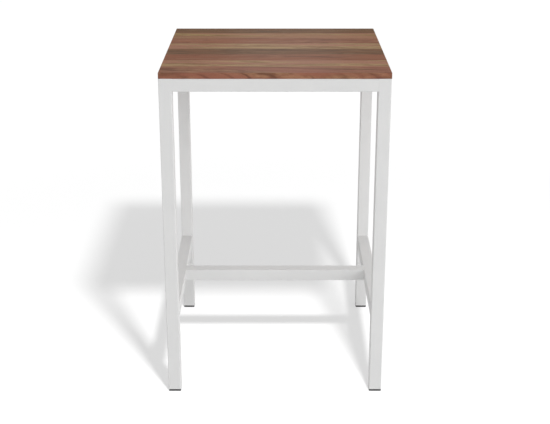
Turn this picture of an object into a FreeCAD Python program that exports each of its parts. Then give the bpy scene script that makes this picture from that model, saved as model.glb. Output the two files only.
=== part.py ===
"""Pub table: a welded square-tube frame, powder coated, under an edge-glued walnut top.

Millimetres. Z is up from the floor, X to the right and Y to the back. The origin is on the floor
under the middle of the table, and the front is at -Y.

The four legs run full height. Every other tube butts on the tube it is welded to, and where two
faces are flush its end is coped to fill that tube's rounded corner, as a weld ground flush does.
"""
import FreeCAD
import Part
import math
import os

# ---------------------------------------------------------------- driving dimensions
# The whole table
table_width = 700.0
table_depth = 700.0
table_height = 1070.0

# Top: strips glued edge to edge, with eased outer edges
top_thickness = 18.0
stave_count = 8
top_easing = 0.5

# Frame tube, one size throughout
tube_size = 40.0
tube_wall = 1.5
tube_corner_radius = 2.5
bore_clip = 0.8             # the bore's corners, cut at 45 degrees
weld_reach = 1.2            # how far a coped end runs into the rounded corner it fills
stretcher_height = 255.0    # floor to the underside of the low stretchers

# Foot glides: a square flange under the tube, and a hollow barbed plug in its bore
flange_height = 7.0
flange_inset = 0.5          # flange edge inside the tube's outer face
flange_corner_radius = 2.0
flange_foot_bevel = 0.8
plug_wall = 2.2
plug_clip = 2.0             # corners cut off at 45 degrees, clear of the bore's rounded corners
plug_web = 1.6
barb_count = 2
barb_depth = 1.2
barb_land = 1.4             # the barb's widest part, below its 45 degree lead
barb_spacing = 8.0
plug_lead = 3.0             # bare shell above the last barb

# Plates and tabs that the top is screwed to
plate_thickness = 3.0
plate_drop = 1.0            # below the top of the frame, so that the screws pull the top down
corner_plate_reach = 62.0   # along each rail
corner_plate_tip = 9.0
corner_plate_relief = 7.0   # clipped corner that clears the frame's own corner weld
tab_length = 40.0
tab_width = 32.0
tab_clip = 5.0
tab_stave = 3               # the strip that a tab holds, counted from the nearer edge
screw_from_rail = 18.0

# Truss-head screws, wide enough to bear on the plate with no washer, and their slots
screw_diameter = 4.5
screw_length = 16.0
screw_tip = 4.0
head_diameter = 11.0
head_rim = 0.6              # the head's straight edge, below its taper
head_height = 2.4
crown_diameter = 6.0        # the flat that the head tapers to
slot_clearance = 0.5        # each side of the screw, along the grain
slot_travel = 6.0           # room for the top to move across the grain
pilot_clearance = 0.05      # round the screw in the wood, on the radius
pilot_spare = 1.5           # deeper than the screw's point

# ---------------------------------------------------------------- worked out from those
UP = FreeCAD.Vector(0, 0, 1)
half_width = table_width / 2
half_depth = table_depth / 2
frame_top = table_height - top_thickness
leg_x = half_width - tube_size / 2
leg_y = half_depth - tube_size / 2
inner_x = half_width - tube_size        # the frame's inner faces
inner_y = half_depth - tube_size
rail_z = frame_top - tube_size / 2
stretcher_z = stretcher_height + tube_size / 2
tube_bore = tube_size - 2 * tube_wall
stave_width = table_depth / stave_count
plate_top = frame_top - plate_drop
plate_underside = plate_top - plate_thickness
tab_y = half_depth - (tab_stave - 0.5) * stave_width

sides = {"left": -1, "right": 1}
ends = {"front": -1, "back": 1}


def at(x, y, z):
    return FreeCAD.Vector(x, y, z)


# ---------------------------------------------------------------- outlines and tube stock
def rounded_square(size, radius):
    """Closed outline of a square with rounded corners, centred on Z."""
    half = size / 2
    flat = half - radius
    diagonal = flat + radius * math.sqrt(0.5)
    edges = []
    for quarter in range(4):
        turn = FreeCAD.Rotation(UP, 90 * quarter)
        low, high = turn.multVec(at(half, -flat, 0)), turn.multVec(at(half, flat, 0))
        middle, end = turn.multVec(at(diagonal, diagonal, 0)), turn.multVec(at(flat, half, 0))
        edges.append(Part.LineSegment(low, high).toShape())
        edges.append(Part.Arc(high, middle, end).toShape())
    return Part.Wire(edges)


def square_bar(size, radius, length):
    """Solid square bar along Z with four rounded long edges."""
    return Part.Face(rounded_square(size, radius)).extrude(UP * length)


def clipped_bar(size, clip, length, base=0.0):
    """Square bar along Z, centred on it, with its long edges cut off at 45 degrees."""
    half = size / 2
    flat = half - clip
    corners = []
    for quarter in range(4):
        turn = FreeCAD.Rotation(UP, 90 * quarter)
        corners.append(turn.multVec(at(half, -flat, base)))
        corners.append(turn.multVec(at(half, flat, base)))
    return Part.Face(Part.makePolygon(corners + corners[:1])).extrude(UP * length)


def laid(shape, start, end):
    """Moves a shape built up from the origin along Z so that it runs from start towards end."""
    turn = FreeCAD.Rotation(UP, end - start)
    shape.Placement = FreeCAD.Placement(start, turn).multiply(shape.Placement)
    return shape


def tube_envelope(start, end):
    """A frame tube's outer form with its bore filled, to cut its neighbours with."""
    return laid(square_bar(tube_size, tube_corner_radius, (end - start).Length), start, end)


def frame_tube(start, end):
    length = (end - start).Length
    bore = laid(clipped_bar(tube_bore, bore_clip, length), start, end)
    return tube_envelope(start, end).cut(bore)


def coped_tube(start, end, neighbours):
    """A tube from face to face of its neighbours, its ends run on and cut to fit their corners."""
    reach = (end - start).normalize() * weld_reach
    tube = frame_tube(start - reach, end + reach)
    for neighbour in neighbours:
        tube = tube.cut(neighbour)
    return tube


def extruded_outline(points, z, height):
    corners = [at(x, y, z) for x, y in points]
    return Part.Face(Part.makePolygon(corners + corners[:1])).extrude(UP * height)


# ---------------------------------------------------------------- frame
def leg_line(x_side, y_side):
    foot = at(x_side * leg_x, y_side * leg_y, flange_height)
    return foot, at(foot.x, foot.y, frame_top)


def leg_inner_quarter(x_side, y_side):
    """Square-cornered block over a leg's inner quarter, where the top rails meet edge to edge."""
    low_x = min(x_side * leg_x, x_side * inner_x)
    low_y = min(y_side * leg_y, y_side * inner_y)
    corner = at(low_x, low_y, frame_top - tube_size)
    return Part.makeBox(tube_size / 2, tube_size / 2, tube_size, corner)


def build_legs():
    return {
        f"leg_{end}_{side}": frame_tube(*leg_line(x_side, y_side))
        for end, y_side in ends.items()
        for side, x_side in sides.items()
    }


def top_rail_lines():
    """The four top rails' centre lines, each from one leg's inner face to the next leg's."""
    lines = {}
    for end, y_side in ends.items():
        y = y_side * leg_y
        lines[end] = at(-inner_x, y, rail_z), at(inner_x, y, rail_z)
    for side, x_side in sides.items():
        x = x_side * leg_x
        lines[side] = at(x, -inner_y, rail_z), at(x, inner_y, rail_z)
    return lines


def build_top_rails():
    corners = [(x_side, y_side) for y_side in ends.values() for x_side in sides.values()]
    neighbours = [tube_envelope(*leg_line(*corner)) for corner in corners]
    neighbours += [leg_inner_quarter(*corner) for corner in corners]
    return {
        f"top_rail_{place}": coped_tube(*line, neighbours)
        for place, line in top_rail_lines().items()
    }


def side_stretcher_line(x_side):
    return at(x_side * leg_x, -inner_y, stretcher_z), at(x_side * leg_x, inner_y, stretcher_z)


def build_stretchers():
    stretchers = {}
    for side, x_side in sides.items():
        legs = [tube_envelope(*leg_line(x_side, y_side)) for y_side in ends.values()]
        stretchers[f"side_stretcher_{side}"] = coped_tube(*side_stretcher_line(x_side), legs)
    side_tubes = [tube_envelope(*side_stretcher_line(x_side)) for x_side in sides.values()]
    left, right = at(-inner_x, 0, stretcher_z), at(inner_x, 0, stretcher_z)
    stretchers["cross_stretcher"] = coped_tube(left, right, side_tubes)
    return stretchers


# ---------------------------------------------------------------- plates, tabs and fasteners
def screw_slot(x, y):
    """Round-ended slot through a plate, long across the grain, which runs along X."""
    radius = screw_diameter / 2 + slot_clearance
    run = slot_travel / 2
    edges = []
    for turn in (1, -1):
        start = at(-turn * radius, turn * run, 0)
        corner = at(-turn * radius, -turn * run, 0)
        tip = at(0, -turn * (run + radius), 0)
        end = at(turn * radius, -turn * run, 0)
        edges.append(Part.LineSegment(start, corner).toShape())
        edges.append(Part.Arc(corner, tip, end).toShape())
    slot = Part.Face(Part.Wire(edges)).extrude(UP * plate_thickness)
    return slot.translated(at(x, y, plate_underside))


def welded_plate(points, screw_x, screw_y, rails):
    """Flat plate cut to the rails it is welded to, with one screw slot."""
    plate = extruded_outline(points, plate_underside, plate_thickness)
    for rail in rails:
        plate = plate.cut(rail)
    return plate.cut(screw_slot(screw_x, screw_y))


def build_corner_plates(rails):
    """Gussets in the frame's four corners: the outline is drawn from the inner corner outwards."""
    reach, tip, relief, run_on = corner_plate_reach, corner_plate_tip, corner_plate_relief, weld_reach
    along_x = [(relief, -run_on), (reach, -run_on), (reach, tip)]
    outline = along_x + [(v, u) for u, v in reversed(along_x)]
    plates = {}
    for end, y_side in ends.items():
        for side, x_side in sides.items():
            points = [(x_side * (inner_x - u), y_side * (inner_y - v)) for u, v in outline]
            screw_x = x_side * (inner_x - screw_from_rail)
            screw_y = y_side * (inner_y - screw_from_rail)
            plate = welded_plate(points, screw_x, screw_y, [rails[end], rails[side]])
            plates[f"corner_plate_{end}_{side}"] = plate
    return plates


def build_tabs(rails):
    """Short tabs inside the left and right rails, with their two free corners clipped."""
    half, clip, width, run_on = tab_length / 2, tab_clip, tab_width, weld_reach
    outline = [(-run_on, -half), (width - clip, -half), (width, clip - half),
               (width, half - clip), (width - clip, half), (-run_on, half)]
    tabs = {}
    for end, y_side in ends.items():
        for side, x_side in sides.items():
            points = [(x_side * (inner_x - u), y_side * tab_y + v) for u, v in outline]
            screw_x = x_side * (inner_x - screw_from_rail)
            tabs[f"rail_tab_{end}_{side}"] = welded_plate(points, screw_x, y_side * tab_y, [rails[side]])
    return tabs


def screw_places():
    """Where the eight screws stand: one in each corner plate and one in each tab."""
    return [
        (x_side * (inner_x - screw_from_rail), y_side * y)
        for y_side in ends.values()
        for x_side in sides.values()
        for y in (inner_y - screw_from_rail, tab_y)
    ]


def truss_head_screw():
    """Screw with its bearing face at Z 0 and its point up."""
    shank, head, crown = screw_diameter / 2, head_diameter / 2, crown_diameter / 2
    corners = [at(0, 0, -head_height), at(0, 0, screw_length), at(shank, 0, screw_length - screw_tip),
               at(shank, 0, 0), at(head, 0, 0), at(head, 0, -head_rim), at(crown, 0, -head_height)]
    profile = Part.Face(Part.makePolygon(corners + corners[:1]))
    return profile.revolve(at(0, 0, 0), UP, 360)


def build_fasteners():
    """All the screws as one group of separate solids, each head against its plate or tab."""
    screws = [truss_head_screw().translated(at(x, y, plate_underside)) for x, y in screw_places()]
    return {"top_screws": Part.makeCompound(screws)}


# ---------------------------------------------------------------- top
def pilot_holes():
    depth = screw_length - plate_thickness - plate_drop + pilot_spare
    radius = screw_diameter / 2 + pilot_clearance
    return [Part.makeCylinder(radius, depth, at(x, y, frame_top)) for x, y in screw_places()]


def build_staves():
    """The glued panel is squared and eased as one board, then told apart at its glue lines."""
    board = Part.makeBox(table_width, table_depth, top_thickness, at(-half_width, -half_depth, frame_top))
    board = board.makeChamfer(top_easing, board.Edges)
    for hole in pilot_holes():
        board = board.cut(hole)
    staves = {}
    for number in range(stave_count):
        corner = at(-half_width, -half_depth + number * stave_width, frame_top)
        strip = Part.makeBox(table_width, stave_width, top_thickness, corner)
        staves[f"top_stave_{number + 1}"] = board.common(strip)
    return staves


# ---------------------------------------------------------------- foot glides
def foot_glide():
    """One moulding, standing on the floor on Z: flange, hollow plug with a cross web, and barbs."""
    flange_size = tube_size - 2 * flange_inset
    flange = square_bar(flange_size, flange_corner_radius, flange_height)
    foot_edges = [edge for edge in flange.Edges if edge.BoundBox.ZMax < flange_height / 2]
    flange = flange.makeChamfer(flange_foot_bevel, foot_edges)

    shell_size = tube_bore - 2 * barb_depth
    cavity_size = shell_size - 2 * plug_wall
    plug_height = barb_count * barb_spacing + plug_lead
    plug = clipped_bar(shell_size, plug_clip, plug_height, flange_height)
    for number in range(barb_count):
        foot = flange_height + plug_lead + number * barb_spacing
        barb = clipped_bar(tube_bore, plug_clip, barb_land + barb_depth, foot)
        upper_edges = [edge for edge in barb.Edges if edge.BoundBox.ZMin > foot + barb_land]
        plug = plug.fuse(barb.makeChamfer(barb_depth, upper_edges))
    plug = plug.cut(clipped_bar(cavity_size, plug_clip, plug_height, flange_height))
    web = Part.makeBox(cavity_size, plug_web, plug_height, at(-cavity_size / 2, -plug_web / 2, flange_height))
    return flange.fuse([plug, web, web.rotated(at(0, 0, 0), UP, 90)]).removeSplitter()


def build_glides():
    return {
        f"foot_glide_{end}_{side}": foot_glide().translated(at(x_side * leg_x, y_side * leg_y, 0))
        for end, y_side in ends.items()
        for side, x_side in sides.items()
    }


# ---------------------------------------------------------------- every node, one STEP each
rails = {place: tube_envelope(*line) for place, line in top_rail_lines().items()}
nodes = {}
for group in (
    build_staves(),
    build_top_rails(),
    build_legs(),
    build_stretchers(),
    build_corner_plates(rails),
    build_tabs(rails),
    build_fasteners(),
    build_glides(),
):
    nodes.update(group)

os.makedirs("parts", exist_ok=True)
for name, shape in nodes.items():
    shape.exportStep(f"parts/{name}.step")
    print(f"{name}: {len(shape.Solids)} solid, {shape.Volume / 1000:.2f} cm3, valid {shape.isValid()}")
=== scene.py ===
import math

import bmesh
import bpy
from mathutils import Matrix, Vector


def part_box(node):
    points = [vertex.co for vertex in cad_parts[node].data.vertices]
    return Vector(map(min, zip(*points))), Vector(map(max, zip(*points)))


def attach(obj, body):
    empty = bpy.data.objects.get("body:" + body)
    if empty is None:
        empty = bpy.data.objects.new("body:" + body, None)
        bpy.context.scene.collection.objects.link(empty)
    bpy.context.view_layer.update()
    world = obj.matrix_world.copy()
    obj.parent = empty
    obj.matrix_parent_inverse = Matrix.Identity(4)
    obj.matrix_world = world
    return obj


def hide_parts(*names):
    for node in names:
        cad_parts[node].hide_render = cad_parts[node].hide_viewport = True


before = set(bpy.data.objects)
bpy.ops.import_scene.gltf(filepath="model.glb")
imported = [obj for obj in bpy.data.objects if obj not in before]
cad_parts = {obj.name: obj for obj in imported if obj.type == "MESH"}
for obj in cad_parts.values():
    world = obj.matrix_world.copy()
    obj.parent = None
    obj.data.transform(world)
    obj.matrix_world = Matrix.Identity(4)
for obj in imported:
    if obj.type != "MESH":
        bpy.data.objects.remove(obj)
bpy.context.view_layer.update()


# ---------------------------------------------------------------- welded frame
# Legs, top rails, H-shaped low stretcher, corner plates and tabs: mild-steel tube and plate,
# welded, ground flush on the outside and powder coated white in one piece. The coat is satin, and
# its surface has the fine dimpled flow that baked powder leaves.
def node(tree, kind, **settings):
    """Adds a shader node; a setting that names a socket sets it, and any other sets the node."""
    made = tree.nodes.new(kind)
    for name, value in settings.items():
        title = name.replace("_", " ")
        if title in made.inputs:
            made.inputs[title].default_value = value
        else:
            setattr(made, name, value)
    return made


def fill(tree, slot, value):
    """Puts a number, a plain colour or another node's output into a socket."""
    if isinstance(value, (int, float)):
        slot.default_value = value
    elif isinstance(value, tuple):
        slot.default_value = (*value, 1.0)
    else:
        tree.links.new(value, slot)


def reckon(tree, operation, *values):
    """A Math node whose inputs are numbers or other nodes' outputs."""
    made = node(tree, "ShaderNodeMath", operation=operation)
    for slot, value in zip(made.inputs, values):
        fill(tree, slot, value)
    return made.outputs[0]


def cloudy(tree, place, scale, detail, rough=0.5):
    """Soft noise from 0 to 1."""
    made = node(tree, "ShaderNodeTexNoise", Scale=scale, Detail=detail, Roughness=rough)
    tree.links.new(place, made.inputs["Vector"])
    return made.outputs["Fac"]


def eased(tree, value, low, high, to_low=0.0, to_high=1.0):
    """Maps a value from one range to another with soft ends."""
    made = node(tree, "ShaderNodeMapRange", interpolation_type="SMOOTHSTEP",
                From_Min=low, From_Max=high, To_Min=to_low, To_Max=to_high)
    tree.links.new(value, made.inputs["Value"])
    return made.outputs[0]


def blended(tree, share, first, second):
    """A colour between two others; each is a colour or another node's output."""
    made = node(tree, "ShaderNodeMix", data_type="RGBA")
    factor, colour_a, colour_b, mixed_colour = 0, 6, 7, 2
    for slot, value in ((factor, share), (colour_a, first), (colour_b, second)):
        fill(tree, made.inputs[slot], value)
    return made.outputs[mixed_colour]


def shared_effect(name, places, values, colours):
    """An empty node group that takes the named sockets and gives a surface's colour, roughness and
    height."""
    group = bpy.data.node_groups.new(name, "ShaderNodeTree")
    takes = [("NodeSocketVector", places), ("NodeSocketFloat", values),
             ("NodeSocketColor", colours)]
    gives = [("NodeSocketColor", ["Colour"]), ("NodeSocketFloat", ["Roughness", "Height"])]
    for way, sockets in (("INPUT", takes), ("OUTPUT", gives)):
        for kind, titles in sockets:
            for title in titles:
                group.interface.new_socket(title, in_out=way, socket_type=kind)
    return group, group.nodes.new("NodeGroupInput"), group.nodes.new("NodeGroupOutput")


def orange_peel_effect():
    """The dimpled flow of a baked or moulded surface, with a slow drift in its tone."""
    group, taken, given = shared_effect(
        "orange_peel", ["Place"], ["Dimples", "Gloss Low", "Gloss High"], ["Base", "Drift"])
    place, join = taken.outputs["Place"], group.links.new
    finer, pinhole_depth = 5.5, 0.22           # pinholes against the dimples
    drift_patches, gloss_patches = 9.0, 34.0   # to a metre

    sized = node(group, "ShaderNodeVectorMath", operation="SCALE")
    join(place, sized.inputs[0])
    join(taken.outputs["Dimples"], sized.inputs["Scale"])
    dimples = cloudy(group, sized.outputs[0], 1.0, 1.0)
    pinholes = cloudy(group, sized.outputs[0], finer, 2.0)
    relief = reckon(group, "MULTIPLY_ADD", pinholes, pinhole_depth, dimples)

    patch = eased(group, cloudy(group, place, drift_patches, 3.0), 0.35, 0.7)
    colour = blended(group, patch, taken.outputs["Base"], taken.outputs["Drift"])

    gloss = node(group, "ShaderNodeMapRange")
    join(cloudy(group, place, gloss_patches, 3.0), gloss.inputs["Value"])
    join(taken.outputs["Gloss Low"], gloss.inputs["To Min"])
    join(taken.outputs["Gloss High"], gloss.inputs["To Max"])

    join(colour, given.inputs["Colour"])
    join(gloss.outputs[0], given.inputs["Roughness"])
    join(relief, given.inputs["Height"])
    return group


def surface(name, effect_group, effect_values, relief, **shader_values):
    """A material: a shared effect with its own values feeds the material's own shader."""
    material = bpy.data.materials.new(name)
    material.use_nodes = True
    tree = material.node_tree
    shader = tree.nodes["Principled BSDF"]
    effect = node(tree, "ShaderNodeGroup", node_tree=effect_group)
    tree.links.new(node(tree, "ShaderNodeTexCoord").outputs["Object"], effect.inputs["Place"])
    for title, value in effect_values.items():
        effect.inputs[title].default_value = value
    for title, value in shader_values.items():
        shader.inputs[title.replace("_", " ")].default_value = value
    strength, distance = relief
    bump = node(tree, "ShaderNodeBump", Strength=strength, Distance=distance)
    tree.links.new(effect.outputs["Height"], bump.inputs["Height"])
    tree.links.new(effect.outputs["Colour"], shader.inputs["Base Color"])
    tree.links.new(effect.outputs["Roughness"], shader.inputs["Roughness"])
    tree.links.new(bump.outputs["Normal"], shader.inputs["Normal"])
    return material


orange_peel = orange_peel_effect()


def dimpled_finish(name, base, drift, dimples, gloss, relief, **shader_values):
    """A coated, plated or moulded material."""
    values = {"Dimples": dimples, "Base": (*base, 1.0), "Drift": (*drift, 1.0),
              "Gloss Low": gloss[0], "Gloss High": gloss[1]}
    return surface(name, orange_peel, values, relief, **shader_values)


def finish_nodes(material, *names):
    """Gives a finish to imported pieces, each keeping its own mesh."""
    for name in names:
        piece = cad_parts[name]
        piece.data.materials.clear()
        piece.data.materials.append(material)


powder_coat = dimpled_finish(
    "white_powder_coat", base=(0.80, 0.80, 0.795), drift=(0.785, 0.786, 0.783),
    dimples=520.0, gloss=(0.50, 0.62), relief=(0.10, 0.0004), Specular_IOR_Level=0.30,
)
corners = [f"{end}_{side}" for end in ("front", "back") for side in ("left", "right")]
rails = [f"top_rail_{place}" for place in ("front", "back", "left", "right")]
stretchers = ["side_stretcher_left", "side_stretcher_right", "cross_stretcher"]
finish_nodes(powder_coat, *rails, *stretchers)
for kind in ("leg", "corner_plate", "rail_tab"):
    finish_nodes(powder_coat, *[f"{kind}_{corner}" for corner in corners])


# ---------------------------------------------------------------- weld beads
# Fillet welds in the frame's hidden inner corners, left as laid and coated over with the frame.
# The welds on the outer faces are ground flush. Each bead is a convex fillet with the ripple of
# its pool.
bead_size = 0.0032
bead_root = 0.0002           # how far its root is fused into the corner
ripple_length = 0.0016
ripple_depth = 0.07          # of the bead's size
crown = 0.16                 # of the bead's size
end_size = 0.35              # of the bead's size, where it starts and stops
end_taper = 5                # full size is reached at (1 - 0.35) / 5 of its length
slices_per_ripple = 4
arc_steps = 6


def skin(mesh, sections):
    """Closes a run of rings into a solid form with flat ends, its faces turned outward."""
    for here, there in zip(sections, sections[1:]):
        for index in range(len(here)):
            after = (index + 1) % len(here)
            mesh.faces.new((here[index], here[after], there[after], there[index]))
    mesh.faces.new(sections[0])
    mesh.faces.new(reversed(sections[-1]))
    bmesh.ops.recalc_face_normals(mesh, faces=mesh.faces)


def weld_bead(mesh, start, end, one_face, other_face):
    """Adds one bead from start to end in the corner where two faces meet; the two directions run
    away from the corner, one along each face."""
    line = end - start
    steps = round(line.length / (ripple_length / slices_per_ripple))
    sections = []
    for step in range(steps + 1):
        share = step / steps
        ripple = 1 + ripple_depth * math.cos(2 * math.pi * share * line.length / ripple_length)
        taper = min(1.0, end_size + end_taper * min(share, 1 - share))
        size = bead_size * ripple * taper
        centre = start + line * share
        ring = [mesh.verts.new(centre - (one_face + other_face) * bead_root)]
        for turn in range(arc_steps + 1):
            part = turn / arc_steps
            bulge = crown * math.sin(math.pi * part)
            reach = one_face * (1 - part + bulge) + other_face * (part + bulge)
            ring.append(mesh.verts.new(centre + reach * size))
        sections.append(ring)
    skin(mesh, sections)


def object_from(mesh, name):
    """Turns a finished mesh into an object in the scene."""
    data = bpy.data.meshes.new(name)
    mesh.to_mesh(data)
    mesh.free()
    made = bpy.data.objects.new(name, data)
    bpy.context.scene.collection.objects.link(made)
    return made


def table_piece(mesh, name, material):
    """Turns a mesh into a smooth-shaded piece of the table."""
    for face in mesh.faces:
        face.smooth = True
    piece = object_from(mesh, name)
    piece.data.materials.append(material)
    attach(piece, "root")
    return piece


east, north, up = Vector((1, 0, 0)), Vector((0, 1, 0)), Vector((0, 0, 1))
four_corners = [(x_side, y_side) for x_side in (-1, 1) for y_side in (-1, 1)]
leg_low, leg_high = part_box("leg_back_right")
inner_x, inner_y = leg_low.x, leg_low.y
leg_middle = (leg_low.x + leg_high.x) / 2
tube_rounding = 0.004        # a bead stops short of the tube's rounded corners
half_bead = (leg_high.x - leg_low.x) / 2 - tube_rounding

# Under each side stretcher and each side rail, against the leg.
beads = bmesh.new()
for x_side, y_side in four_corners:
    for name in ("side_stretcher_left", "top_rail_left"):
        middle = Vector((x_side * leg_middle, y_side * inner_y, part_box(name)[0].z))
        ends = middle - east * half_bead, middle + east * half_bead
        weld_bead(beads, *ends, -up, north * -y_side)
table_piece(beads, "leg_weld_beads", powder_coat)

# Behind each end of the cross stretcher, against the side stretcher.
stretcher_low, stretcher_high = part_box("cross_stretcher")
beads = bmesh.new()
for x_side in (-1, 1):
    middle = Vector((x_side * inner_x, (stretcher_high.y - stretcher_low.y) / 2,
                     (stretcher_low.z + stretcher_high.z) / 2))
    weld_bead(beads, middle - up * half_bead, middle + up * half_bead, north, east * -x_side)
table_piece(beads, "cross_stretcher_weld_beads", powder_coat)

# Under the two outer edges of each corner plate and the outer edge of each tab, against the rails.
plate_bead_start, plate_bead_end = 0.012, 0.056    # from the frame's inner corner
half_tab_bead = 0.016
plate_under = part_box("corner_plate_back_right")[0].z
beads = bmesh.new()
for x_side, y_side in four_corners:
    inward_x, inward_y = east * -x_side, north * -y_side
    corner = Vector((x_side * inner_x, y_side * inner_y, plate_under))
    for along, away in ((inward_x, inward_y), (inward_y, inward_x)):
        ends = corner + along * plate_bead_start, corner + along * plate_bead_end
        weld_bead(beads, *ends, -up, away)
    tab_low, tab_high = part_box(f"rail_tab_{'front' if y_side < 0 else 'back'}_left")
    edge = Vector((x_side * inner_x, (tab_low.y + tab_high.y) / 2, tab_low.z))
    ends = edge - north * half_tab_bead, edge + north * half_tab_bead
    weld_bead(beads, *ends, -up, inward_x)
table_piece(beads, "plate_weld_beads", powder_coat)


# ---------------------------------------------------------------- walnut top
# Eight walnut strips, edge glued, sawn near the quarter and finished with a satin clear lacquer.
# Each has its own pith line, so its growth rings run straight along the face and flow in long
# diagonals across the front edge, and its own tone, from olive tan to dusky red and grey brown.
line_brown = (0.085, 0.032, 0.022)
pore_brown = (0.045, 0.026, 0.018)
end_brown = (0.085, 0.047, 0.030)
glue_brown = (0.040, 0.024, 0.018)
year_width = 0.0066          # between two dark lines, before the years' own variation
seed_spread = 7.3            # moves each strip's rings to another stretch of noise
end_soak = 0.00025, 0.0006   # from a strip's end: full within the first, gone past the second
glue_reach = 0.00008, 0.00028                      # the same for the dark along a glue line


def walnut_figure_effect():
    """Solid walnut cut from a log: rings round a pith line that wanders, streaks, fibres, pores."""
    group, taken, given = shared_effect(
        "walnut_figure", ["Place", "Pith"],
        ["Lean", "Dip", "Wander", "Seed", "Joint Low", "Joint High", "Board End"],
        ["Early", "Late", "Blush"])
    join, asked = group.links.new, taken.outputs

    def reckoned(operation, *values):
        return reckon(group, operation, *values)

    def split(vector):
        made = node(group, "ShaderNodeSeparateXYZ")
        join(vector, made.inputs[0])
        return made.outputs["X"], made.outputs["Y"], made.outputs["Z"]

    def gathered(x, y, z):
        made = node(group, "ShaderNodeCombineXYZ")
        for axis, value in (("X", x), ("Y", y), ("Z", z)):
            join(value, made.inputs[axis])
        return made.outputs[0]

    def streaks(place, scale, detail, rough=0.5):
        """Noise with so many patches to a metre along the strip, across it and through it."""
        stretched = node(group, "ShaderNodeVectorMath", operation="MULTIPLY")
        join(place, stretched.inputs[0])
        stretched.inputs[1].default_value = scale
        return cloudy(group, stretched.outputs[0], 1.0, detail, rough)

    # The grain leans across the strip, dips through its thickness and wanders a little, and all
    # the figure follows it.
    from_pith = node(group, "ShaderNodeVectorMath", operation="SUBTRACT")
    join(asked["Place"], from_pith.inputs[0])
    join(asked["Pith"], from_pith.inputs[1])
    x, y, z = split(from_pith.outputs[0])
    along = reckoned("ADD", x, asked["Seed"])
    drift = reckoned("SUBTRACT", streaks(gathered(along, y, z), (3.6, 3.0, 3.0), 1.5), 0.5)
    leaning = reckoned("MULTIPLY_ADD", x, asked["Lean"], y)
    dipping = reckoned("MULTIPLY_ADD", x, asked["Dip"], z)
    across = reckoned("MULTIPLY_ADD", drift, asked["Wander"], leaning)
    deep = reckoned("MULTIPLY_ADD", drift, reckoned("DIVIDE", asked["Wander"], 3.0), dipping)
    squares = reckoned("ADD", reckoned("POWER", across, 2.0), reckoned("POWER", deep, 2.0))
    ring = reckoned("SQRT", squares)
    grain = gathered(along, across, deep)
    ring_start = reckoned("MULTIPLY", asked["Seed"], seed_spread)

    def growth(width, detail):
        """Noise that varies only from ring to ring."""
        made = node(group, "ShaderNodeTexNoise", noise_dimensions="1D", Detail=detail, Scale=1.0)
        join(reckoned("MULTIPLY_ADD", ring, 1 / width, ring_start), made.inputs["W"])
        return made.outputs["Fac"]

    # Each layer of figure: where it comes from and how strongly it darkens the wood.
    fibres = streaks(grain, (12.0, 640.0, 640.0), 3.0, 0.6)
    layers = [
        (growth(0.021, 1.0), 1.10),                          # runs of good and lean years
        (growth(0.0034, 2.0), 0.75),                         # within a year
        (streaks(grain, (3.2, 15.0, 15.0), 1.0), 1.20),      # broad clouds
        (streaks(grain, (8.0, 56.0, 46.0), 2.0), 2.20),      # streaks
        (streaks(grain, (22.0, 100.0, 90.0), 2.0), 1.90),    # fine streaks
        (fibres, 1.10),
    ]
    shade = 0.5 - sum(weight for _, weight in layers) / 2
    for layer, weight in layers:
        shade = reckoned("MULTIPLY_ADD", layer, weight, shade)
    colour = blended(group, eased(group, shade, -0.1, 1.1), asked["Early"], asked["Late"])
    warmth = streaks(grain, (3.0, 30.0, 26.0), 2.0)
    warm_share = eased(group, warmth, 0.40, 0.60, 0.0, 0.85)
    colour = blended(group, warm_share, colour, asked["Blush"])

    # A dark line closes each year's growth. The years vary in width, and the lines in strength.
    years = reckoned("MULTIPLY_ADD", growth(0.019, 0.0), 1.1, reckoned("DIVIDE", ring, year_width))
    wave = reckoned("SINE", reckoned("MULTIPLY", years, 2 * math.pi))
    line = eased(group, wave, 0.55, 1.0)
    strength = eased(group, growth(0.0075, 0.0), 0.36, 0.62, 0.12, 0.55)
    fade = eased(group, streaks(grain, (5.0, 22.0, 22.0), 1.0), 0.34, 0.58)
    line = reckoned("MULTIPLY", line, reckoned("MULTIPLY", fade, strength))
    colour = blended(group, line, colour, line_brown)

    # Open pores: short dark dashes along the grain, and dots on the end grain.
    pore = eased(group, streaks(grain, (95.0, 2600.0, 2600.0), 1.0), 0.63, 0.70)
    colour = blended(group, reckoned("MULTIPLY", pore, 0.55), colour, pore_brown)

    # The strips' ends drink more lacquer and look darker, and each glue line is a hair of dark.
    place_x, place_y, _ = split(asked["Place"])
    to_end = reckoned("SUBTRACT", asked["Board End"], reckoned("ABSOLUTE", place_x))
    end_share = eased(group, to_end, *end_soak, 0.42, 0.0)
    colour = blended(group, end_share, colour, end_brown)
    to_low, to_high = (reckoned("ABSOLUTE", reckoned("SUBTRACT", place_y, asked[joint]))
                       for joint in ("Joint Low", "Joint High"))
    glue = eased(group, reckoned("MINIMUM", to_low, to_high), *glue_reach, 0.55, 0.0)
    colour = blended(group, glue, colour, glue_brown)

    # Satin lacquer, duller in the open pores, which it doesn't fill.
    dull = reckoned("MULTIPLY_ADD", pore, 0.14, 0.68)
    rough = reckoned("MULTIPLY_ADD", cloudy(group, asked["Place"], 21.0, 3.0), 0.10, dull)
    relief = reckoned("MULTIPLY_ADD", fibres, 0.35, reckoned("MULTIPLY", pore, -1.0))
    join(colour, given.inputs["Colour"])
    join(rough, given.inputs["Roughness"])
    join(relief, given.inputs["Height"])
    return group


walnut_figure = walnut_figure_effect()

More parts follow.
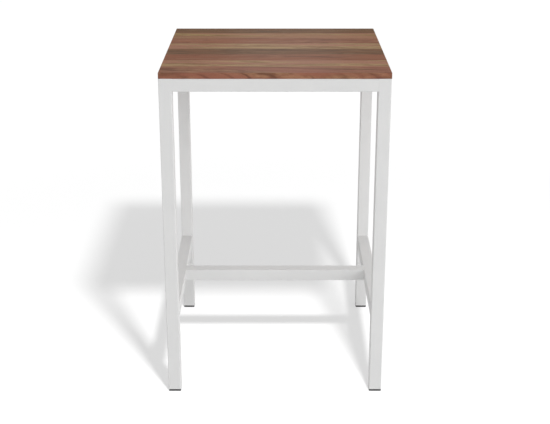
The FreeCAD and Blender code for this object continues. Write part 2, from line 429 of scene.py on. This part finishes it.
# Early wood, late wood and blush of the six tones of walnut in the top.
tones = {
    "warm": ((0.352, 0.182, 0.103), (0.175, 0.078, 0.046), (0.300, 0.119, 0.078)),
    "tan": ((0.410, 0.268, 0.138), (0.244, 0.142, 0.068), (0.358, 0.168, 0.110)),
    "dusky": ((0.325, 0.152, 0.088), (0.190, 0.080, 0.046), (0.290, 0.116, 0.064)),
    "dark": ((0.230, 0.130, 0.070), (0.132, 0.070, 0.038), (0.205, 0.100, 0.052)),
    "honey": ((0.412, 0.270, 0.119), (0.244, 0.142, 0.059), (0.358, 0.170, 0.099)),
    "umber": ((0.230, 0.127, 0.061), (0.132, 0.068, 0.033), (0.205, 0.097, 0.045)),
}
# From the front strip to the back: tone and lightness, the pith's place across and below the
# strip, how far the grain leans across it, dips through it and wanders, and a seed for its noise.
strips = [
    ("warm", 1.11, -0.135, -0.0235, 0.100, 0.000, 0.015, 20.90),
    ("tan", 1.17, -0.210, -0.050, 0.030, 0.050, 0.060, 11.22),
    ("dusky", 1.05, 0.180, -0.040, -0.035, -0.040, 0.060, 10.12),
    ("dark", 1.10, -0.240, -0.030, 0.025, 0.060, 0.060, 12.68),
    ("tan", 1.15, 0.230, -0.060, 0.028, -0.050, 0.060, 15.85),
    ("dusky", 1.10, -0.190, -0.045, -0.022, 0.050, 0.060, 19.63),
    ("honey", 1.04, 0.250, -0.055, 0.055, 0.040, 0.060, 25.85),
    ("umber", 0.99, -0.200, -0.035, -0.030, -0.060, 0.060, 26.58),
]
no_joint = 9.0               # the top's two outer edges have no glue line near them
staves = [f"top_stave_{number}" for number in range(1, len(strips) + 1)]
for name, row in zip(staves, strips):
    tone, lightness, pith_across, pith_below, lean, dip, wander, seed = row
    low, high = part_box(name)
    values = {
        "Pith": (0.0, (low.y + high.y) / 2 + pith_across, high.z + pith_below),
        "Lean": lean, "Dip": dip, "Wander": wander, "Seed": seed,
        "Joint Low": low.y if name != staves[0] else -no_joint,
        "Joint High": high.y if name != staves[-1] else no_joint,
        "Board End": high.x,
    }
    for title, colour in zip(("Early", "Late", "Blush"), tones[tone]):
        values[title] = (*(channel * lightness for channel in colour), 1.0)
    walnut = surface(name.replace("top_stave", "walnut_strip"), walnut_figure, values,
                     relief=(0.16, 0.0002), Specular_IOR_Level=0.0,
                     Coat_Weight=0.11, Coat_Roughness=0.30)
    finish_nodes(walnut, name)


# ---------------------------------------------------------------- top screws
# Eight truss-head wood screws, zinc plated steel, driven up through the slotted plates and tabs.
# Each is one forging: domed head with a cross recess, shank, rolled thread and point.
screws_low, screws_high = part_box("top_screws")
head_radius = 0.0055
head_height = plate_under - screws_low.z
head_turns = 48              # faces round the head
rim_height = 0.0005
rim_rounding = 0.0001
dome_steps = 10
shank_radius = 0.0022        # over the thread
neck_radius = shank_radius * 0.82                  # of the bare shank under the head
core_radius = shank_radius * 0.76                  # and where the point begins
shank_length = screws_high.z - plate_under
point_length = 0.004
thread_pitch = 0.0021
thread_depth = 0.00055
thread_start, thread_stop = 0.0016, shank_length - 0.0006
thread_foot = 0.0004         # half of the ridge's width
thread_root = shank_radius * 0.70                  # the ridge starts inside the bare shank
thread_bury = shank_radius * 0.12                  # and is at its surface this much further out
tip_crest = 0.25             # how far out it still reaches at the very tip, of its full radius
steps_per_turn = 20
recess_length, recess_width = 0.0026, 0.00055      # each half way across
recess_depth, recess_proud = 0.0017, 0.0003
recess_floor_x, recess_floor_y = 0.45, 0.8         # of its mouth
spin_apart = 0.7             # each screw stopped at its own turn

zinc_plate = dimpled_finish(
    "bright_zinc_plate", base=(0.62, 0.62, 0.61), drift=(0.55, 0.56, 0.57),
    dimples=1500.0, gloss=(0.24, 0.40), relief=(0.08, 0.0001), Metallic=1.0,
)


def turned_form(profile, turns, name):
    """A closed form turned round the upright axis from (radius, height) points, its two ends on
    the axis."""
    mesh = bmesh.new()
    angles = [2 * math.pi * turn / turns for turn in range(turns)]
    bottom = mesh.verts.new((0, 0, profile[0][1]))
    rings = [[mesh.verts.new((radius * math.cos(a), radius * math.sin(a), height)) for a in angles]
             for radius, height in profile[1:-1]]
    top = mesh.verts.new((0, 0, profile[-1][1]))
    pairs = [(index, (index + 1) % turns) for index in range(turns)]
    for here, after in pairs:
        mesh.faces.new((bottom, rings[0][after], rings[0][here]))
    for below, above in zip(rings, rings[1:]):
        for here, after in pairs:
            mesh.faces.new((below[here], below[after], above[after], above[here]))
    for here, after in pairs:
        mesh.faces.new((rings[-1][here], rings[-1][after], top))
    bmesh.ops.recalc_face_normals(mesh, faces=mesh.faces)
    return object_from(mesh, name)


def recess_cutter():
    """Tapered cross that leaves the screw's drive recess, deepest in the middle."""
    mesh = bmesh.new()
    for x, y in ((recess_length, recess_width), (recess_width, recess_length)):
        outline = [(-x, -y), (x, -y), (x, y), (-x, y)]
        mouth_z, floor_z = -head_height - recess_proud, -head_height + recess_depth
        mouth = [mesh.verts.new((x, y, mouth_z)) for x, y in outline]
        floor = [mesh.verts.new((x * recess_floor_x, y * recess_floor_y, floor_z))
                 for x, y in outline]
        skin(mesh, [mouth, floor])
    return object_from(mesh, "recess_cutter")


def screw_mesh():
    """One screw, its head's bearing face at height 0 and its point up."""
    dome_height = head_height - rim_height
    profile = [(0.0, -head_height)]
    for step in range(1, dome_steps + 1):
        turn = step / dome_steps * math.pi / 2
        profile.append((head_radius * math.sin(turn), -rim_height - dome_height * math.cos(turn)))
    profile += [(head_radius, -rim_rounding), (head_radius - rim_rounding, 0.0),
                (neck_radius, 0.0), (core_radius, shank_length - point_length),
                (0.0, shank_length)]
    screw = turned_form(profile, head_turns, "truss_head_screw")
    cutter = recess_cutter()
    cut = screw.modifiers.new("drive recess", "BOOLEAN")
    cut.operation = "DIFFERENCE"
    cut.object = cutter
    cut.solver = "EXACT"
    cut.use_self = True
    ready = bpy.context.evaluated_depsgraph_get()
    data = bpy.data.meshes.new_from_object(screw.evaluated_get(ready))
    bpy.data.objects.remove(screw)
    bpy.data.objects.remove(cutter)

    # The thread is a thin ridge that winds round the shank and runs out towards the point.
    mesh = bmesh.new()
    mesh.from_mesh(data)
    run = thread_stop - thread_start
    steps = int(run / thread_pitch * steps_per_turn)
    sections = []
    for step in range(steps + 1):
        height = thread_start + run * step / steps
        turn = 2 * math.pi * step / steps_per_turn
        left = max(0.0, min(1.0, (shank_length - height) / point_length))
        root = thread_root * left
        full = min(shank_radius, root + thread_bury + thread_depth)
        crest = full * (tip_crest + (1 - tip_crest) * left)
        ring = []
        for radius, lift in ((root, -thread_foot), (crest, 0.0), (root, thread_foot)):
            spot = (radius * math.cos(turn), radius * math.sin(turn), height + lift)
            ring.append(mesh.verts.new(spot))
        sections.append(ring)
    skin(mesh, sections)
    mesh.to_mesh(data)
    mesh.free()
    return data


one_screw = screw_mesh()
plate_screw_x, plate_screw_y = screws_high.x - head_radius, screws_high.y - head_radius
tab_low, tab_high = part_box("rail_tab_back_left")
tab_screw_y = (tab_low.y + tab_high.y) / 2
rows = (-plate_screw_y, -tab_screw_y, tab_screw_y, plate_screw_y)
screw_places = [(x_side * plate_screw_x, y) for x_side in (-1, 1) for y in rows]
screws = bmesh.new()
for number, (x, y) in enumerate(screw_places):
    before = len(screws.verts)
    screws.from_mesh(one_screw)
    screws.verts.ensure_lookup_table()
    driven = Matrix.Translation((x, y, plate_under)) @ Matrix.Rotation(spin_apart * number, 4, "Z")
    bmesh.ops.transform(screws, matrix=driven, verts=screws.verts[before:])
top_screws = table_piece(screws, "truss_head_screws", zinc_plate)
top_screws.data.set_sharp_from_angle(angle=math.radians(35))
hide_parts("top_screws")


# ---------------------------------------------------------------- foot glides
# Four square glides, injection-moulded dark grey nylon, each a flange with a hollow barbed plug
# pushed up into its leg. The flange shows below the tube, matt from the mould's spark-eroded wall.
moulded_nylon = dimpled_finish(
    "moulded_grey_nylon", base=(0.050, 0.050, 0.052), drift=(0.061, 0.060, 0.060),
    dimples=1900.0, gloss=(0.52, 0.68), relief=(0.22, 0.00012), Specular_IOR_Level=0.30,
)
finish_nodes(moulded_nylon, *[f"foot_glide_{corner}" for corner in corners])


# ---------------------------------------------------------------- studio
# Not part of the table: a plain pale floor and a surround that gives soft light from all round,
# one lamp for the shadow on the floor, a soft box for the sheen on the top, and a soft panel at
# the right.
white = (1.0, 1.0, 1.0, 1.0)
floor_reach = 40.0
clear_start, clear_end = 1.35, 3.0     # past the shadow's reach the floor turns into the surround
floor_grey, shown_grey = 0.25, 0.22    # of the floor as it lights the table, and as it is seen
shown_lift = 0.554                     # glow that brings the seen floor up to the surround
surround_glow = 1.02

floor_corners = [(x * floor_reach, y * floor_reach, 0)
                 for x, y in ((-1, -1), (1, -1), (1, 1), (-1, 1))]
floor_data = bpy.data.meshes.new("studio_floor")
floor_data.from_pydata(floor_corners, [], [(0, 1, 2, 3)])
floor = bpy.data.objects.new("studio_floor", floor_data)
bpy.context.scene.collection.objects.link(floor)


def mixed(tree, share, first, second):
    """A blend of two shaders."""
    made = node(tree, "ShaderNodeMixShader")
    for slot, output in zip(made.inputs, (share, first, second)):
        tree.links.new(output, slot)
    return made.outputs[0]


def seen_directly(tree):
    """1 for what the camera sees, straight or in a shiny or clear surface."""
    rays = node(tree, "ShaderNodeLightPath")
    first = reckon(tree, "MAXIMUM", rays.outputs["Is Camera Ray"], rays.outputs["Is Glossy Ray"])
    return reckon(tree, "MAXIMUM", first, rays.outputs["Is Transmission Ray"])


# The floor lights the table as plain grey. What the camera sees of it is lifted to the surround's
# white, with the shadow kept.
floor_paint = bpy.data.materials.new("pale_floor")
floor_paint.use_nodes = True
tree = floor_paint.node_tree
tree.nodes.clear()
matt = node(tree, "ShaderNodeBsdfDiffuse", Color=(floor_grey, floor_grey, floor_grey, 1.0))
shown = node(tree, "ShaderNodeBsdfDiffuse", Color=(shown_grey, shown_grey, shown_grey, 1.0))
lift = node(tree, "ShaderNodeEmission", Color=white, Strength=shown_lift)
lifted = node(tree, "ShaderNodeAddShader")
tree.links.new(shown.outputs[0], lifted.inputs[0])
tree.links.new(lift.outputs[0], lifted.inputs[1])
surround = node(tree, "ShaderNodeEmission", Color=white, Strength=surround_glow)
from_table = node(tree, "ShaderNodeVectorMath", operation="LENGTH")
tree.links.new(node(tree, "ShaderNodeTexCoord").outputs["Object"], from_table.inputs[0])
cleared = eased(tree, from_table.outputs["Value"], clear_start, clear_end)
seen_floor = mixed(tree, cleared, lifted.outputs[0], surround.outputs[0])
painted = mixed(tree, seen_directly(tree), matt.outputs[0], seen_floor)
tree.links.new(painted, node(tree, "ShaderNodeOutputMaterial").inputs["Surface"])
floor.data.materials.append(floor_paint)

# Soft light from all round: the direction that each broad light stands in, and its strength.
broad_lights = {
    "front": ((0.0, -1.0, 0.0), 1.32),
    "front right": ((0.87, -0.50, 0.0), 1.82),
    "back": ((0.0, 1.0, 0.0), 2.2),
    "left": ((-1.0, 0.0, 0.0), 0.6),
    "above": ((0.0, 0.0, 1.0), 0.5),
}
fall_off = 3.0               # power of the cosine that each broad light fades with
world = bpy.data.worlds.new("studio_surround")
bpy.context.scene.world = world
world.use_nodes = True
tree = world.node_tree
tree.nodes.clear()
toward = node(tree, "ShaderNodeTexCoord").outputs["Generated"]
amount = 0.0
for direction, strength in broad_lights.values():
    facing = node(tree, "ShaderNodeVectorMath", operation="DOT_PRODUCT")
    tree.links.new(toward, facing.inputs[0])
    facing.inputs[1].default_value = direction
    lit_side = reckon(tree, "MAXIMUM", facing.outputs["Value"], 0.0)
    lobe = reckon(tree, "POWER", lit_side, fall_off)
    amount = reckon(tree, "MULTIPLY_ADD", lobe, strength, amount)
lighting = node(tree, "ShaderNodeBackground", Color=white)
tree.links.new(amount, lighting.inputs["Strength"])
backdrop = node(tree, "ShaderNodeBackground", Color=white, Strength=1.0)
all_round = mixed(tree, seen_directly(tree), lighting.outputs[0], backdrop.outputs[0])
tree.links.new(all_round, node(tree, "ShaderNodeOutputWorld").inputs["Surface"])


def studio_light(name, kind, place, energy, lit):
    """A light that reaches only the things it is meant for."""
    light = bpy.data.objects.new(name, bpy.data.lights.new(name, kind))
    bpy.context.scene.collection.objects.link(light)
    light.location = place
    light.data.energy = energy
    reached = bpy.data.collections.new(f"lit_by_{name}")
    for thing in lit:
        reached.objects.link(thing)
    light.light_linking.receiver_collection = reached
    return light


def soft_box(name, width, height, place, aim, energy, lit):
    """A flat soft light, aimed at a point."""
    box = studio_light(name, "AREA", place, energy, lit)
    box.data.shape = "RECTANGLE"
    box.data.size, box.data.size_y = width, height
    box.rotation_euler = (Vector(aim) - box.location).to_track_quat("-Z", "Y").to_euler()


# One round lamp high at the front and right draws the table's shadow, and lights the floor alone.
# It is as strong far away as near.
shadow_lamp = studio_light("shadow_lamp", "POINT", (0.656, -2.485, 3.649), 1.0, [floor])
shadow_lamp.data.shadow_soft_size = 0.194
shadow_lamp.data.use_nodes = True
tree = shadow_lamp.data.node_tree
steady = node(tree, "ShaderNodeLightFalloff", Strength=80.0)
tree.links.new(steady.outputs["Constant"], tree.nodes["Emission"].inputs["Strength"])

# A soft box behind the table lays a broad sheen across the middle of the lacquered top.
soft_box("sheen_box", 0.72, 1.60, place=(0.07, 4.0, 2.45), aim=(0, 0, 1.07), energy=5.0,
         lit=[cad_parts[name] for name in staves])

# A soft panel at the right lights the table alone, a little more at the top than near the floor.
table_meshes = [thing for thing in bpy.context.scene.objects
                if thing.type == "MESH" and thing != floor]
soft_box("side_panel", 1.4, 1.4, place=(2.6, -0.9, 1.5), aim=(0, 0, 0.75), energy=14.0,
         lit=table_meshes)


# ---------------------------------------------------------------- camera
# A long lens at a standing person's eye height, square on to the front of the table and tipped
# down until the whole table is in view.
tipped_down = 19.949         # degrees
lens_data = bpy.data.cameras.new("front_camera")
lens_data.sensor_width = 36.0
lens_data.lens = 74.42
camera = bpy.data.objects.new("front_camera", lens_data)
camera.location = (0.0, -3.6784, 1.8370)
camera.rotation_euler = (math.radians(90 - tipped_down), 0.0, 0.0)
bpy.context.scene.collection.objects.link(camera)
bpy.context.scene.camera = camera
bpy.context.scene.view_settings.view_transform = "Standard"
